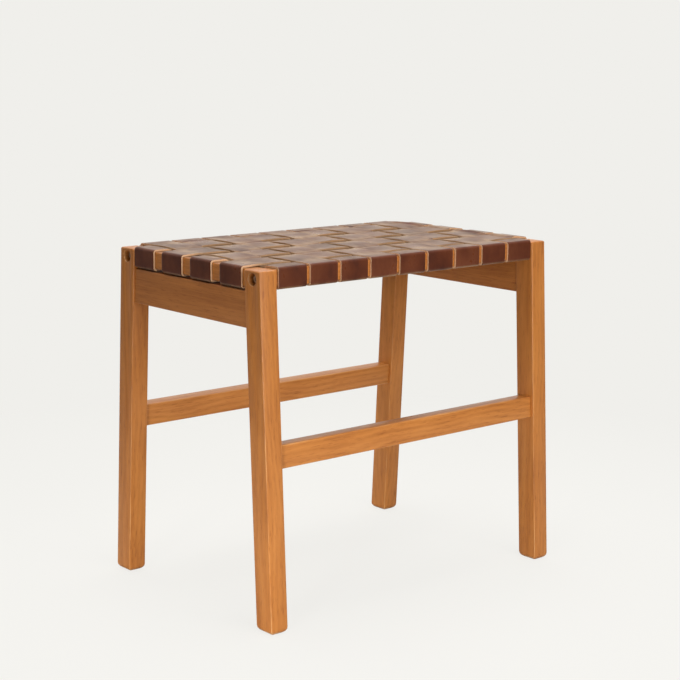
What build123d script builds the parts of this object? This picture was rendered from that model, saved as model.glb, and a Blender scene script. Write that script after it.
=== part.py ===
from build123d import *
import math
import os

# Wooden stool with a woven strap seat.
# Lengths are in millimetres and angles in degrees.
# X runs along the seat, Y runs from front to back and Z points up.
# The origin is on the floor, under the middle of the seat.

# Overall size
overall_length = 500.0
overall_depth = 350.0
leg_height = 453.0
splay_angle = 3.0

# Legs: the width is along X, the depth is square to the leaning leg
leg_width = 26.0
leg_depth = 31.0
leg_edge_radius = 2.2
leg_top_chamfer = 1.4
foot_chamfer = 4.5
foot_chamfer_angle = 45.0

# Stretchers between the front legs and between the back legs
stretcher_thickness = 21.8
stretcher_height = 30.0
stretcher_centre_height = 221.0
stretcher_edge_radius = 1.6
tenon_thickness = 10.0
tenon_height = 20.0
tenon_length = 15.0
tenon_clearance = 0.15
tenon_end_gap = 0.8

# Seat rails that the straps are wound round
rail_thickness = 22.0
rail_height = 22.0
rail_edge_radius = 1.2

# End aprons under the end rails
apron_thickness = 22.0
apron_height = 46.0
apron_setback = 2.5
apron_edge_radius = 1.4
strap_slit = 4.7

# Leather straps. The first gap is between the front left leg and the first strap
strap_thickness = 2.7
strap_width = 44.4
strap_clearance = 0.2
strap_setback = 1.0
strap_tail = 13.0
long_strap_first_gap = 6.5
long_strap_gap = 18.6
cross_strap_first_gap = 4.3
cross_strap_gap = 5.4

# Rail bolts, sunk in the end faces of the legs
bolt_radius = 3.0
bolt_hole_clearance = 0.4
bolt_head_radius = 5.0
bolt_head_height = 6.0
hex_socket_width = 5.0
hex_socket_depth = 3.0
washer_radius = 7.0
washer_thickness = 1.4
counterbore_radius = 8.0
counterbore_depth = 13.6
bolt_tip_length = 9.0

# Barrel nuts in the front and back rails
nut_radius = 5.0
nut_length = 15.0
nut_clearance = 0.15
nut_inset = 26.0
thread_clearance = 0.05

# Wooden dowels
rail_dowel_radius = 3.0
rail_dowel_spacing = 11.0
rail_dowel_leg_depth = 7.0
rail_dowel_rail_depth = 16.0
apron_dowel_radius = 4.0
apron_dowel_spacing = 22.0
apron_dowel_leg_depth = 15.0
apron_dowel_apron_depth = 17.0
locating_dowel_radius = 2.5
locating_dowel_offset = 6.2
locating_dowel_leg_depth = 8.0
locating_dowel_rail_depth = 12.0
dowel_clearance = 0.1
dowel_end_gap = 0.5

# Sides of the round bars and bores, and runs in each bend of a strap
hidden_sides = 12
washer_sides = 16
bolt_head_sides = 24
strap_bend_runs = 4
weave_bend_runs = 2
quarter_turn = 90.0

# How far a cutting tool runs past the face that it cuts
overrun = 5.0

# Heights and places that follow from the sizes above
lean = math.radians(splay_angle)
rail_bottom = leg_height - rail_height
rail_centre_height = leg_height - rail_height / 2
apron_top = rail_bottom - strap_slit
apron_centre_height = apron_top - apron_height / 2
leg_inner_x = overall_length / 2 - leg_width
leg_top_y = overall_depth / 2 - leg_height * math.tan(lean)
end_rail_outer_x = overall_length / 2 - strap_setback - strap_thickness - strap_clearance
end_rail_centre_x = end_rail_outer_x - rail_thickness / 2
side_rail_outer_y = leg_top_y - strap_setback - strap_thickness - strap_clearance
side_rail_centre_y = side_rail_outer_y - rail_thickness / 2
apron_centre_x = overall_length / 2 - apron_setback - apron_thickness / 2
bolt_seat_x = overall_length / 2 - counterbore_depth
nut_x = leg_inner_x - nut_inset
strap_bend_radius = rail_edge_radius + strap_clearance + strap_thickness / 2
weave_rise = strap_thickness + strap_clearance


def leg_outer_y(height):
    """Distance from the middle of the stool to a leg's outer face at one height."""
    return leg_top_y + (leg_height - height) * math.tan(lean)


def leg_inner_y(height):
    """Distance from the middle of the stool to a leg's inner face at one height."""
    return leg_outer_y(height) - leg_depth / math.cos(lean)


def rod(radius, length, start, direction, sides=hidden_sides):
    """A bar or bore that begins at a point and runs in one direction."""
    section = RegularPolygon(radius, sides, major_radius=False)
    return extrude(Plane(origin=start, z_dir=direction) * section, amount=length)


def lean_plane(x, height):
    """A plane square to X on the middle line of the back right leg, turned with its lean."""
    y = (leg_outer_y(height) + leg_inner_y(height)) / 2
    return Plane(origin=(x, y, height), x_dir=(0, math.cos(lean), math.sin(lean)), z_dir=(1, 0, 0))


def four_corners(shape):
    """The back right shape and its mirror images at the other three corners."""
    right = [shape, mirror(shape, about=Plane.XZ)]
    return right + [mirror(each, about=Plane.YZ) for each in right]


def rounded_long_edges(shape, radius):
    """Round the four longest edges of a bar."""
    return fillet(shape.edges().filter_by(GeomType.LINE).sort_by(SortBy.LENGTH)[-4:], radius=radius)


def write_node(name, solids):
    """Save one named piece, or one group of like pieces."""
    export_step(Compound(label=name, children=solids), os.path.join("parts", name + ".step"))


# Legs

def leg_blank():
    """The back right leg: leaning sides, level ends, rounded edges and a chamfered foot."""
    side_view = Plane.YZ.offset(leg_inner_x) * Polygon(
        (leg_inner_y(0), 0),
        (leg_outer_y(0), 0),
        (leg_outer_y(leg_height), leg_height),
        (leg_inner_y(leg_height), leg_height),
        align=None,
    )
    blank = rounded_long_edges(extrude(side_view, amount=leg_width), leg_edge_radius)
    blank = chamfer(blank.faces().sort_by(Axis.Z)[-1].edges(), length=leg_top_chamfer)
    foot_centre = ((overall_length - leg_width) / 2, (leg_outer_y(0) + leg_inner_y(0)) / 2)
    foot_depth = leg_outer_y(0) - leg_inner_y(0)
    sole = Pos(*foot_centre) * Rectangle(leg_width - 2 * foot_chamfer, foot_depth - 2 * foot_chamfer)
    envelope = extrude(sole, amount=leg_height, taper=-foot_chamfer_angle)
    return blank & envelope


def leg_cuts():
    """Everything that is cut out of the back right leg."""
    tenon_hole = lean_plane(leg_inner_x, stretcher_centre_height) * Rectangle(
        tenon_thickness + 2 * tenon_clearance, tenon_height + 2 * tenon_clearance
    )
    seat = (bolt_seat_x, side_rail_centre_y, rail_centre_height)
    counterbore = Plane(origin=seat, z_dir=(1, 0, 0)) * Circle(counterbore_radius)
    cuts = [
        extrude(tenon_hole, amount=tenon_length + tenon_end_gap),
        extrude(counterbore, amount=counterbore_depth + overrun),
        rod(bolt_radius + bolt_hole_clearance, leg_width + overrun, seat, (-1, 0, 0)),
    ]
    return cuts + dowel_holes()


def make_legs():
    """The four legs, in the order back right, front right, back left, front left."""
    leg = leg_blank()
    for cut in leg_cuts():
        leg = leg - cut
    return four_corners(leg)


# Stretchers

def make_stretchers():
    """The back and the front stretcher, each with a tenon at both ends."""
    section = lean_plane(-leg_inner_x, stretcher_centre_height) * Rectangle(
        stretcher_thickness, stretcher_height
    )
    bar = rounded_long_edges(extrude(section, amount=2 * leg_inner_x), stretcher_edge_radius)
    tenon = lean_plane(-leg_inner_x - tenon_length, stretcher_centre_height) * Rectangle(
        tenon_thickness, tenon_height
    )
    back = bar + extrude(tenon, amount=2 * (leg_inner_x + tenon_length))
    return [back, mirror(back, about=Plane.XZ)]


# Dowels and their holes

def dowel_places():
    """Each back right dowel: radius, place of its joint, way into the leg and both depths."""
    places = []
    for side in (-1, 1):
        height = rail_centre_height + side * rail_dowel_spacing / 2
        joint = (end_rail_centre_x, leg_inner_y(height), height)
        places.append(
            ("rail", rail_dowel_radius, joint, (0, 1, 0), rail_dowel_leg_depth, rail_dowel_rail_depth)
        )
        height = apron_centre_height + side * apron_dowel_spacing / 2
        joint = (apron_centre_x, leg_inner_y(height), height)
        places.append(
            ("apron", apron_dowel_radius, joint, (0, 1, 0), apron_dowel_leg_depth, apron_dowel_apron_depth)
        )
    joint = (
        leg_inner_x,
        side_rail_centre_y + locating_dowel_offset,
        rail_centre_height - locating_dowel_offset,
    )
    places.append(
        (
            "locating",
            locating_dowel_radius,
            joint,
            (1, 0, 0),
            locating_dowel_leg_depth,
            locating_dowel_rail_depth,
        )
    )
    return places


def dowel_rod(place, extra_radius, extra_length):
    """A dowel, or with extra size the hole that takes it."""
    _, radius, joint, direction, leg_reach, rail_reach = place
    start = Vector(*joint) - Vector(*direction) * (rail_reach + extra_length)
    length = leg_reach + rail_reach + 2 * extra_length
    return rod(radius + extra_radius, length, start, direction)


def dowel_holes():
    """The holes for every dowel at the back right corner."""
    return [dowel_rod(place, dowel_clearance, dowel_end_gap) for place in dowel_places()]


def make_dowels(kind):
    """One kind of dowel at all four corners."""
    dowels = []
    for place in dowel_places():
        if place[0] == kind:
            dowels += four_corners(dowel_rod(place, 0, 0))
    return dowels


# Seat rails and aprons

def end_board(outer_x, thickness, bottom, top, radius):
    """A board between the inner faces of two end legs, its ends cut to the legs' lean."""
    outline = Plane.YZ.offset(outer_x - thickness) * Polygon(
        (-leg_inner_y(bottom), bottom),
        (leg_inner_y(bottom), bottom),
        (leg_inner_y(top), top),
        (-leg_inner_y(top), top),
        align=None,
    )
    board = extrude(outline, amount=thickness)
    return fillet(board.edges().filter_by(Axis.Y), radius=radius)


def with_dowel_holes(board):
    """Drill an end board at both ends."""
    for hole in dowel_holes():
        board = board - hole - mirror(hole, about=Plane.XZ)
    return board


def make_end_rails():
    """The right and the left end rail."""
    rail = end_board(end_rail_outer_x, rail_thickness, rail_bottom, leg_height, rail_edge_radius)
    rail = with_dowel_holes(rail)
    return [rail, mirror(rail, about=Plane.YZ)]


def make_aprons():
    """The right and the left apron."""
    outer_x = overall_length / 2 - apron_setback
    apron = end_board(outer_x, apron_thickness, apron_top - apron_height, apron_top, apron_edge_radius)
    apron = with_dowel_holes(apron)
    return [apron, mirror(apron, about=Plane.YZ)]


def side_rail_cuts():
    """The bolt bore, the barrel nut's hole and the dowel hole at one end of the back rail."""
    bore_length = nut_inset + bolt_tip_length + dowel_end_gap
    nut_hole_length = rail_thickness / 2 + nut_length / 2 + dowel_end_gap
    rail_inner_y = side_rail_outer_y - rail_thickness
    return [
        rod(
            bolt_radius + bolt_hole_clearance,
            bore_length,
            (leg_inner_x, side_rail_centre_y, rail_centre_height),
            (-1, 0, 0),
        ),
        rod(
            nut_radius + nut_clearance,
            nut_hole_length,
            (nut_x, rail_inner_y, rail_centre_height),
            (0, 1, 0),
        ),
    ] + dowel_holes()


def make_side_rails():
    """The back and the front rail, between the inner faces of the legs."""
    section = Plane.YZ.offset(-leg_inner_x) * Pos(side_rail_centre_y, rail_centre_height) * Rectangle(
        rail_thickness, rail_height
    )
    rail = rounded_long_edges(extrude(section, amount=2 * leg_inner_x), rail_edge_radius)
    for cut in side_rail_cuts():
        rail = rail - cut - mirror(cut, about=Plane.YZ)
    return [rail, mirror(rail, about=Plane.XZ)]


# Bolts, washers and barrel nuts

def make_bolts():
    """The four rail bolts, with a hexagon socket in each head."""
    head_seat_x = bolt_seat_x + washer_thickness
    head_face_x = head_seat_x + bolt_head_height
    tip_x = nut_x - bolt_tip_length
    shank = rod(bolt_radius, head_seat_x - tip_x, (tip_x, side_rail_centre_y, rail_centre_height), (1, 0, 0))
    head = rod(
        bolt_head_radius,
        bolt_head_height,
        (head_seat_x, side_rail_centre_y, rail_centre_height),
        (1, 0, 0),
        bolt_head_sides,
    )
    socket_face = Plane(origin=(head_face_x, side_rail_centre_y, rail_centre_height), z_dir=(-1, 0, 0))
    socket = extrude(
        socket_face * RegularPolygon(hex_socket_width / 2, 6, major_radius=False), amount=hex_socket_depth
    )
    return four_corners(shank + head - socket)


def make_washers():
    """A washer under each bolt head."""
    seat = (bolt_seat_x, side_rail_centre_y, rail_centre_height)
    disc = rod(washer_radius, washer_thickness, seat, (1, 0, 0), washer_sides)
    hole = rod(bolt_radius + bolt_hole_clearance, washer_thickness, seat, (1, 0, 0))
    return four_corners(disc - hole)


def make_barrel_nuts():
    """The barrel nuts that the bolts screw into, lying across the rails."""
    start = (nut_x, side_rail_centre_y - nut_length / 2, rail_centre_height)
    barrel = rod(nut_radius, nut_length, start, (0, 1, 0))
    thread = rod(
        bolt_radius + thread_clearance,
        2 * (nut_radius + overrun),
        (nut_x - nut_radius - overrun, side_rail_centre_y, rail_centre_height),
        (1, 0, 0),
    )
    return four_corners(barrel - thread)


# Straps

def strap_places(leg_face, first_gap, gap):
    """The middle line of each strap of one set, as many as fit between two legs."""
    pitch = strap_width + gap
    room = 2 * leg_face - first_gap - strap_clearance + gap
    first = -leg_face + first_gap + strap_width / 2
    return [first + number * pitch for number in range(int(room / pitch))]


def long_strap_places():
    """How far back the middle of each long strap lies."""
    return strap_places(leg_inner_y(leg_height), long_strap_first_gap, long_strap_gap)


def cross_strap_places():
    """How far to the right the middle of each cross strap lies."""
    return strap_places(leg_inner_x, cross_strap_first_gap, cross_strap_gap)


def bend(radius, turn, runs):
    """A bend as short straight runs, each given as the turn before it and its length."""
    part = turn / runs
    chord = 2 * radius * math.sin(math.radians(abs(part) / 2))
    return [(part / 2, chord)] + [(part, chord)] * (runs - 1) + [(part / 2, 0)]


def weave_step(rise, span):
    """Two equal bends that lift or lower a strap by one level within a span."""
    turn = math.copysign(math.degrees(2 * math.atan(abs(rise) / span)), rise)
    radius = (span**2 + rise**2) / (4 * abs(rise))
    return bend(radius, turn, weave_bend_runs) + bend(radius, -turn, weave_bend_runs)


def rail_wrap(start, middle, end):
    """Three straight runs round a rail, with a bend at each of its edges that they meet."""
    corner = bend(strap_bend_radius, -quarter_turn, strap_bend_runs)
    return [(0, start)] + corner + [(0, middle)] + corner + [(0, end)]


def woven_moves(rail_outer, crossings, over):
    """The strap's route on the seat, from the left rail's outer edge to the right rail's.

    The strap lies on the rails' level where it passes under, and one strap
    higher where it passes over.
    """
    gap = crossings[1] - crossings[0] - strap_width - 2 * strap_clearance
    cover = strap_width + 2 * strap_clearance
    moves = []
    place = -rail_outer + rail_edge_radius
    level = 0
    for centre, is_over in zip(crossings, over):
        entry = centre - cover / 2
        if is_over != level:
            moves.append((0, entry - gap - place))
            moves += weave_step(weave_rise * (is_over - level), gap)
            place = entry
        level = is_over
        moves.append((0, centre + cover / 2 - place))
        place = centre + cover / 2
    if level:
        moves += weave_step(-weave_rise, gap)
        place = place + gap
    moves.append((0, rail_outer - rail_edge_radius - place))
    return moves


def strap_moves(rail_outer, crossings, over):
    """The whole route: up from the left tail, over the seat and down to the right tail."""
    tail = strap_tail - rail_edge_radius
    under = rail_thickness - 2 * rail_edge_radius
    side = rail_height - 2 * rail_edge_radius
    corner = bend(strap_bend_radius, -quarter_turn, strap_bend_runs)
    left = rail_wrap(tail, under, side)
    right = rail_wrap(side, under, tail)
    return left + corner + woven_moves(rail_outer, crossings, over) + corner + right


def strap_route(rail_outer, moves):
    """The corner points of a route in the XY plane that starts downward at the left tail."""
    rail_inner = rail_outer - rail_thickness
    start_x = -rail_inner + strap_clearance + strap_thickness / 2
    points = [Vector(start_x, rail_bottom + strap_tail)]
    heading = -quarter_turn
    for turn, run in moves:
        heading = heading + turn
        if run > 0:
            points.append(points[-1] + Vector(run, 0).rotate(Axis.Z, heading))
    return points


def strap_outline(points):
    """The strap's side view: its route moved to both sides by half its thickness."""
    runs = [(after - before).normalized() for before, after in zip(points, points[1:])]
    lefts = [run.rotate(Axis.Z, quarter_turn) for run in runs]
    left_side = []
    right_side = []
    for point, before, after in zip(points, lefts[:1] + lefts, lefts + lefts[-1:]):
        reach = (before + after) * (strap_thickness / 2 / (1 + before.dot(after)))
        left_side.append(point + reach)
        right_side.append(point - reach)
    return left_side + right_side[::-1]


def make_strap(rail_outer, crossings, over):
    """One strap: the side view of its woven route, as wide along Z as the strap."""
    points = strap_route(rail_outer, strap_moves(rail_outer, crossings, over))
    side_view = Polygon(*strap_outline(points), align=None)
    return extrude(side_view, amount=strap_width / 2, both=True)


def make_long_straps():
    """The straps along X, from the front one to the back one."""
    crossings = cross_strap_places()
    straps = []
    for number, y in enumerate(long_strap_places()):
        over = [(number + other + 1) % 2 for other in range(len(crossings))]
        strap = make_strap(end_rail_outer_x, crossings, over)
        straps.append(Plane.XZ.offset(-y) * strap)
    return straps


def make_cross_straps():
    """The straps along Y, from the left one to the right one."""
    crossings = long_strap_places()
    straps = []
    for number, x in enumerate(cross_strap_places()):
        over = [(number + other) % 2 for other in range(len(crossings))]
        strap = make_strap(side_rail_outer_y, crossings, over)
        straps.append(Plane.YZ.offset(x) * strap)
    return straps


# All pieces

def main():
    """Make every piece and save it under its name."""
    os.makedirs("parts", exist_ok=True)
    leg_names = ("leg_back_right", "leg_front_right", "leg_back_left", "leg_front_left")
    singles = dict(zip(leg_names, make_legs()))
    singles.update(zip(("stretcher_back", "stretcher_front"), make_stretchers()))
    singles.update(zip(("end_rail_right", "end_rail_left"), make_end_rails()))
    singles.update(zip(("apron_right", "apron_left"), make_aprons()))
    singles.update(zip(("side_rail_back", "side_rail_front"), make_side_rails()))
    for number, strap in enumerate(make_long_straps(), start=1):
        singles[f"long_strap_{number}"] = strap
    for number, strap in enumerate(make_cross_straps(), start=1):
        singles[f"cross_strap_{number}"] = strap
    for name, solid in singles.items():
        write_node(name, [solid])
    write_node("rail_bolts", make_bolts())
    write_node("bolt_washers", make_washers())
    write_node("barrel_nuts", make_barrel_nuts())
    write_node("end_rail_dowels", make_dowels("rail"))
    write_node("apron_dowels", make_dowels("apron"))
    write_node("locating_dowels", make_dowels("locating"))


main()
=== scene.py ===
# A wooden stool with a seat of woven leather straps.
# Lengths are in metres, X runs along the seat, Y from front to back and Z up.
import math
from contextlib import contextmanager
from dataclasses import dataclass, replace

import bmesh
import bpy
from bpy.props import FloatProperty, FloatVectorProperty, IntProperty, PointerProperty
from mathutils import Matrix, Vector


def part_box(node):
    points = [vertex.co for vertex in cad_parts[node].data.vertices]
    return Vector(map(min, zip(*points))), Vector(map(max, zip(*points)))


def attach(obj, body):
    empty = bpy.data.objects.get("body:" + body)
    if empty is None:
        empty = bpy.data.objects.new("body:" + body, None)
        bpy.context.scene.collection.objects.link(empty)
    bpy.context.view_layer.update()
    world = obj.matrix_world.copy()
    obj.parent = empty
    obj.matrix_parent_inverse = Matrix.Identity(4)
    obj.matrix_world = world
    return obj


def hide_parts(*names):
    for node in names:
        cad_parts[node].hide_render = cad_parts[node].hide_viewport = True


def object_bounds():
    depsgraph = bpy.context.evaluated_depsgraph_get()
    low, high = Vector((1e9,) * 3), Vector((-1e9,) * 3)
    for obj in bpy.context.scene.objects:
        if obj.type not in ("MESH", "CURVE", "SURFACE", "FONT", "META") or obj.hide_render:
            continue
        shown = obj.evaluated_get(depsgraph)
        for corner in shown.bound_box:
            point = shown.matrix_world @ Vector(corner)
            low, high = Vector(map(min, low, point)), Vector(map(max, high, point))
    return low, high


bl_info = {
    "name": "Woven Strap Stool",
    "version": (1, 0, 0),
    "blender": (4, 5, 0),
    "location": "View3D > Sidebar > Stool",
    "description": "Models a wooden stool with a woven leather seat, piece by piece",
    "category": "Add Mesh",
}

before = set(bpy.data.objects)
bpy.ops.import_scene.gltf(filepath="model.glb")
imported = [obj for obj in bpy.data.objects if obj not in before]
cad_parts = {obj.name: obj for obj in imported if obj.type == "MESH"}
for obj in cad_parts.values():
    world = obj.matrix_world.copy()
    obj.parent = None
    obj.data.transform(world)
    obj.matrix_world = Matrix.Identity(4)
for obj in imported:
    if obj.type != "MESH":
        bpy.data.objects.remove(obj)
solid_low, solid_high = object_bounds()

MM = 0.001
FUZZ = [(0.35, (0.62, 0.62, 0.62, 1)), (0.70, (1, 1, 1, 1))]
LONG_STRAPS = ["long_strap_%d" % number for number in range(1, 5)]
CROSS_STRAPS = ["cross_strap_%d" % number for number in range(1, 10)]
CORNERS = {
    "back_right": (1, 1),
    "front_right": (1, -1),
    "back_left": (-1, 1),
    "front_left": (-1, -1),
}


# Sizes and colours that a user would change

def length(name, description, default):
    """A size in metres for one of the property groups."""
    return FloatProperty(
        name=name, description=description, default=default, min=0, unit="LENGTH", precision=5
    )


def colour(name, description, default):
    """A linear colour for one of the property groups."""
    return FloatVectorProperty(
        name=name, description=description, default=(*default, 1), size=4, subtype="COLOR", min=0, max=1
    )


def share(name, description, default, highest=1.0):
    """A plain number for one of the property groups."""
    return FloatProperty(name=name, description=description, default=default, min=0, max=highest)


class StoolWoodSizes(bpy.types.PropertyGroup):
    lean: FloatProperty(
        name="Lean", description="How far the legs lean to front and back",
        default=math.radians(3), subtype="ANGLE",
    )
    depth: length("Depth", "Outside of the front feet to outside of the back feet", 350 * MM)
    leg_height: length("Leg height", "Height of the legs", 453 * MM)
    leg_width: length("Leg width", "Width of a leg along the seat", 26 * MM)
    leg_depth: length("Leg depth", "Depth of a leg, square to its lean", 31 * MM)
    leg_edge: length("Leg edge", "Radius of the legs' long edges", 1.3 * MM)
    leg_top_edge: length("Leg top edge", "Radius of the edges round the legs' tops", 2.1 * MM)
    foot_edge: length("Foot edge", "Radius of the edges round each foot", 7.4 * MM)
    board_edge: length("Board edge", "Radius of the edges of rails and aprons", 1.4 * MM)
    stretcher_thickness: length("Stretcher thickness", "Thickness of the stretchers", 21.8 * MM)
    stretcher_height: length("Stretcher height", "Height of the stretchers", 30 * MM)
    stretcher_level: length("Stretcher level", "Height of the middle of the stretchers", 221 * MM)
    stretcher_edge: length("Stretcher edge", "Radius of the stretchers' edges", 1.6 * MM)
    tenon_length: length("Tenon length", "Length of the stretchers' tenons", 15 * MM)
    shoulder_gap: length("Shoulder gap", "Fine open line between a stretcher and a leg", 0.4 * MM)
    shoulder_relief: length("Shoulder relief", "Small chamfer where a piece meets a leg", 0.35 * MM)


class StoolStrapSizes(bpy.types.PropertyGroup):
    thickness: length("Thickness", "Thickness of the leather", 2.7 * MM)
    width: length("Width", "Width of each strap", 44.4 * MM)
    clearance: length("Clearance", "Space between a strap and what it lies on", 0.2 * MM)
    rail_edge: length("Rail edge", "Radius of the rail's edges under the straps", 1.2 * MM)
    tail: length("Tail", "How far a strap's end turns up inside the rail", 13 * MM)
    saddle: length("Saddle", "How far a strap arches where it crosses another", 0.65 * MM)
    sag: length("Sag", "How far the woven seat lies below its straps on the rails", 2.9 * MM)
    sag_start: length("Sag start", "How far out over a rail the sag starts", 2.4 * MM)
    sag_run: length("Sag run", "Distance over which the sag sets in", 10 * MM)
    drift: length("Drift", "How far the long straps run to the front at their right ends", 5.0 * MM)
    cut_edge: length("Cut edge", "Rounding of the straps' cut edges", 0.4 * MM)
    columns: IntProperty(name="Columns", description="Faces across a strap", default=14, min=4)


class StoolFastenerSizes(bpy.types.PropertyGroup):
    head_radius: length("Head radius", "Radius of a bolt's head", 5 * MM)
    head_height: length("Head height", "Height of a bolt's head", 6 * MM)
    socket_width: length("Socket width", "Hexagon socket across its flats", 5 * MM)
    socket_depth: length("Socket depth", "Depth of the hexagon socket", 3 * MM)
    shank_radius: length("Shank radius", "Radius of a bolt's shank", 3 * MM)
    shank_length: length("Shank length", "Length of a bolt below its head", 48 * MM)
    washer_radius: length("Washer radius", "Outer radius of a washer", 7 * MM)
    washer_thickness: length("Washer thickness", "Thickness of a washer", 1.4 * MM)
    bore_radius: length("Bore radius", "Radius of the hole that the head sits in", 8 * MM)
    bore_depth: length("Bore depth", "Depth of the hole that the head sits in", 13.6 * MM)
    staple_width: length("Staple width", "Width of a staple's crown", 11 * MM)
    staple_wire: length("Staple wire", "Thickness of a staple's wire", 0.9 * MM)


class StoolColours(bpy.types.PropertyGroup):
    wood_light: colour("Light wood", "Pale bands of the wood", (0.62, 0.245, 0.056))
    wood_middle: colour("Middle wood", "Most of the wood", (0.50, 0.178, 0.036))
    wood_dark: colour("Dark wood", "Late wood and pores", (0.335, 0.104, 0.018))
    wood_worn: colour("Worn wood", "Edges where the stain has rubbed thin, and rims of bolt holes", (0.86, 0.56, 0.27))
    # Painted shade: this colour darkens the deep walls of the bolt holes, with some gathered stain, and the rail tops
    # between the straps
    shade_and_stain_wood: colour("Bore wood", "Painted shade and gathered stain deep in the bolt holes, and painted shade on the rail tops between the straps", (0.085, 0.036, 0.014))
    dowel_wood: colour("Dowel wood", "Plain wood of the dowels", (0.60, 0.42, 0.24))
    leather_light: colour("Light leather", "Rubbed parts of the leather", (0.158, 0.046, 0.019))
    leather_middle: colour("Middle leather", "Most of the leather", (0.105, 0.026, 0.010))
    leather_dark: colour("Dark leather", "Deep parts of the leather", (0.056, 0.012, 0.005))
    leather_bent: colour("Bent leather", "Parts of the leather that pale where it bends", (0.36, 0.20, 0.085))
    cut_leather: colour("Cut leather", "Undyed cut edges of the straps", (0.86, 0.54, 0.31))
    # Painted shade: the cut edges inside the weave are given this darker colour
    shaded_inner_cut: colour("Inner cut leather", "Cut edges inside the weave, darkened by painted shade", (0.50, 0.31, 0.17))
    flesh_leather: colour("Flesh side", "Undyed back of the straps", (0.36, 0.18, 0.09))
    steel: colour("Steel", "Bronzed steel of bolts, washers and staples", (0.46, 0.33, 0.24))
    background: colour("Background", "Backdrop, and the floor as it is seen", (0.871, 0.863, 0.831))
    floor: colour("Floor", "Floor where it lights the stool and takes its shadow", (0.50, 0.49, 0.47))


class StoolStudio(bpy.types.PropertyGroup):
    key_power: FloatProperty(name="Key lamp", description="Soft lamp in front", default=21.6, unit="POWER")
    low_power: FloatProperty(name="Low lamp", description="Lamp at the left near the floor", default=220, unit="POWER")
    top_power: FloatProperty(name="Top lamp", description="Soft lamp above", default=66, unit="POWER")
    room_light: share("Room light", "Strength of the even light from all round", 0.10, 5.0)


# Modelling

def select_only(piece):
    """Make one piece the only one selected, and active."""
    bpy.ops.object.select_all(action="DESELECT")
    piece.select_set(True)
    bpy.context.view_layer.objects.active = piece


def settle(piece, name):
    """Name a piece and move its place, turn and size into its mesh."""
    piece.name = name
    select_only(piece)
    bpy.ops.object.transform_apply(location=True, rotation=True, scale=True)
    return piece


def add_block(name, low, high):
    """Start a piece as a box between two corners."""
    bpy.ops.object.select_all(action="DESELECT")
    low, high = Vector(low), Vector(high)
    bpy.ops.mesh.primitive_cube_add(size=1, location=(low + high) / 2, scale=high - low)
    return settle(bpy.context.object, name)


def add_rod(name, centre, radius, depth, sides=48):
    """Start a piece as a round bar along X."""
    bpy.ops.object.select_all(action="DESELECT")
    bpy.ops.mesh.primitive_cylinder_add(
        vertices=sides, radius=radius, depth=depth, location=centre, rotation=(0, math.pi / 2, 0)
    )
    return settle(bpy.context.object, name)


@contextmanager
def editing(piece):
    """Work on one piece in edit mode, with nothing selected at first."""
    select_only(piece)
    bpy.ops.object.mode_set(mode="EDIT")
    bpy.ops.mesh.select_all(action="DESELECT")
    yield
    bpy.ops.object.mode_set(mode="OBJECT")


def pick_edges(piece, wanted):
    """Select the edges whose two ends pass a test."""
    bpy.ops.mesh.select_mode(type="EDGE")
    bpy.ops.mesh.select_all(action="DESELECT")
    mesh = bmesh.from_edit_mesh(piece.data)
    for edge in mesh.edges:
        if wanted(edge.verts[0].co, edge.verts[1].co):
            edge.select_set(True)
    bmesh.update_edit_mesh(piece.data)


def pick_faces(piece, wanted):
    """Select the faces that pass a test on their middle and their normal."""
    bpy.ops.mesh.select_mode(type="FACE")
    bpy.ops.mesh.select_all(action="DESELECT")
    mesh = bmesh.from_edit_mesh(piece.data)
    mesh.normal_update()
    for face in mesh.faces:
        if wanted(face.calc_center_median(), face.normal):
            face.select_set(True)
    bmesh.update_edit_mesh(piece.data)


def round_edges(piece, radius, segments, wanted):
    """Bevel the edges that pass a test."""
    pick_edges(piece, wanted)
    bpy.ops.mesh.bevel(offset=radius, segments=segments, profile=0.5, affect="EDGES")


def push_out(distance):
    """Extrude the selected faces along their normals."""
    bpy.ops.mesh.extrude_region_shrink_fatten(TRANSFORM_OT_shrink_fatten={"value": distance})


def apply_modifier(piece, kind, **settings):
    """Add a modifier to a piece and apply it."""
    modifier = piece.modifiers.new(kind.title(), kind)
    for name, value in settings.items():
        setattr(modifier, name, value)
    select_only(piece)
    bpy.ops.object.modifier_apply(modifier=modifier.name)


def cut_away(piece, cutter):
    """Take one piece's shape out of another, and remove it."""
    apply_modifier(piece, "BOOLEAN", operation="DIFFERENCE", solver="EXACT", object=cutter)
    bpy.data.objects.remove(cutter)


def mark_wear(piece):
    """Store 1 on the crests of eased edges and 0 on the points of broad faces."""
    wear = piece.data.attributes.new("wear", "FLOAT", "POINT")
    for point in piece.data.vertices:
        facing = max(abs(part) for part in point.normal)
        wear.data[point.index].value = ease((0.90 - facing) / 0.16)


def tint_wood(piece, tint_at):
    """Store how much paler (above 0) the wood is at each point, or how much painted shade darkens it (below 0)."""
    tint = piece.data.attributes.new("tint", "FLOAT", "POINT")
    for point in piece.data.vertices:
        tint.data[point.index].value = tint_at(point.co)


def paint_rail_top_shade(rail):
    """Paint shade on the top of a seat rail, in the narrow gaps between the straps."""
    top = max(point.co.z for point in rail.data.vertices) - 0.1 * MM
    tint_wood(rail, lambda at: -0.35 if at.z > top else 0.0)


def shade(piece, angle=40):
    """Shade a piece smooth, apart from its sharp edges."""
    select_only(piece)
    bpy.ops.object.shade_smooth_by_angle(angle=math.radians(angle))


def mirrored_copy(piece, name, sign_x, sign_y):
    """Copy a piece, with its own mesh, to the other side of the stool."""
    select_only(piece)
    bpy.ops.object.duplicate(linked=False)
    copy = bpy.context.object
    copy.scale = (sign_x, sign_y, 1)
    settle(copy, name)
    if sign_x * sign_y < 0:
        with editing(copy):
            bpy.ops.mesh.select_all(action="SELECT")
            bpy.ops.mesh.normals_make_consistent(inside=False)
    return copy


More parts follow.
